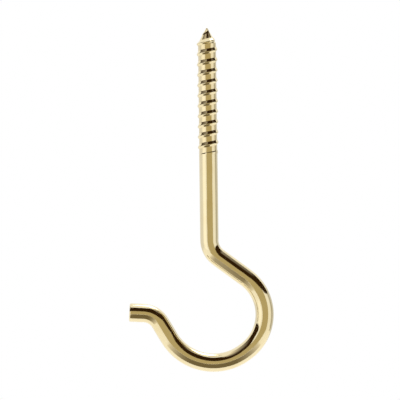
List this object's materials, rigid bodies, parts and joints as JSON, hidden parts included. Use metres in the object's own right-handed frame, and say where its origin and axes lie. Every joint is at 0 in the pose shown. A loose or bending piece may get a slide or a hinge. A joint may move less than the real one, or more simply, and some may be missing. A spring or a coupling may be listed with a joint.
{
  "type": "screw-in ceiling hook",
  "caption": "Bent round-wire hook: a right-hand wood-screw thread with a gimlet point above a plain shank, then a swan neck and an open bowl with a turned-out lip to hang a load in.",
  "frame": {"origin": "on the shank's axis, where the thread ends and the plain shank begins", "axes": "+Z along the shank, up towards the screw point; the hook lies in the XZ plane with its mouth towards -X and the back of its bowl towards +X; Y goes across the wire"},
  "size_m": [0.0337, 0.0048, 0.08],
  "materials": {
    "polished_brass": "polished"
  },
  "bodies": {
    "root": {"screw_hook": "polished_brass"}
  },
  "joints": []
}
